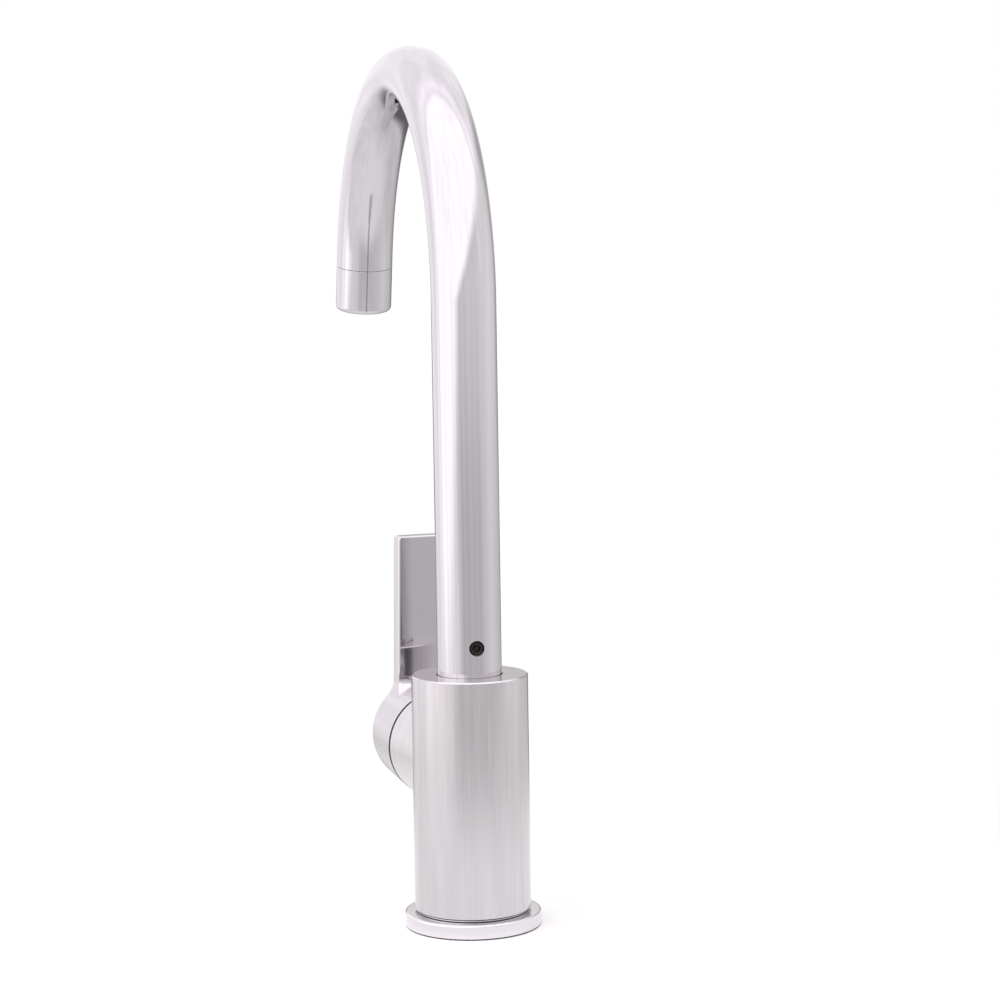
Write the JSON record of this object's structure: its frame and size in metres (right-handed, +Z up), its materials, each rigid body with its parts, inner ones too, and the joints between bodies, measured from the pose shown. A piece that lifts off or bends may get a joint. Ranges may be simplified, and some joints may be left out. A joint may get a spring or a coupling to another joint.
{
  "type": "gooseneck bar faucet",
  "caption": "Single-lever bar faucet: a bent tube spout that swivels on a round body, with a side hub, an upright flat lever, an outlet collar and a base flange.",
  "frame": {"origin": "on the deck, at the centre of the round base", "axes": "+Z up along the body and the straight leg of the spout; the spout points to -Y at rest"},
  "size_m": [0.0557, 0.2296, 0.3527],
  "materials": {
    "chrome": "polished",
    "bare_brass": "machined",
    "black_rubber": "matte",
    "white_acetal": "moulded",
    "black_acetal": "moulded",
    "cartridge_plastic": "moulded",
    "ceramic": "lapped ceramic",
    "steel_mesh": "woven",
    "black_oxide_steel": "black oxide"
  },
  "bodies": {
    "body": {"base_gasket": "black_rubber", "base_flange": "chrome", "body_casting": "chrome", "upper_glide_ring": "white_acetal", "lower_glide_ring": "white_acetal", "spout_clip": "white_acetal", "cartridge_base": "cartridge_plastic", "port_seals": "black_rubber", "fixed_ceramic_disc": "ceramic", "cartridge_housing": "cartridge_plastic", "cartridge_nut": "bare_brass", "hub_glide_ring": "black_acetal"},
    "spout": {"spout_tube": "chrome", "spout_adapter": "bare_brass", "lower_o_ring": "black_rubber", "upper_o_ring": "black_rubber", "spout_grub_screw": "black_oxide_steel", "outlet_insert": "bare_brass", "aerator_collar": "chrome", "aerator_washer": "black_rubber", "aerator_core": "white_acetal", "aerator_screen": "steel_mesh"},
    "handle": {"lever_handle": "chrome", "cartridge_stem": "bare_brass", "stem_o_ring": "black_rubber", "disc_carrier": "black_acetal", "moving_ceramic_disc": "ceramic", "lever_grub_screw": "black_oxide_steel"}
  },
  "joints": [
    {"name": "spout_swivel", "type": "hinge", "parent": "body", "child": "spout", "pos_m": [0, 0, 0.0875], "axis": [0, 0, 1], "continuous": true},
    {"name": "handle_turn", "type": "hinge", "parent": "body", "child": "handle", "pos_m": [0.00444, -0.03371, 0.0662], "axis": [0.1305, -0.9914, 0], "range_deg": [0, 90]}
  ]
}
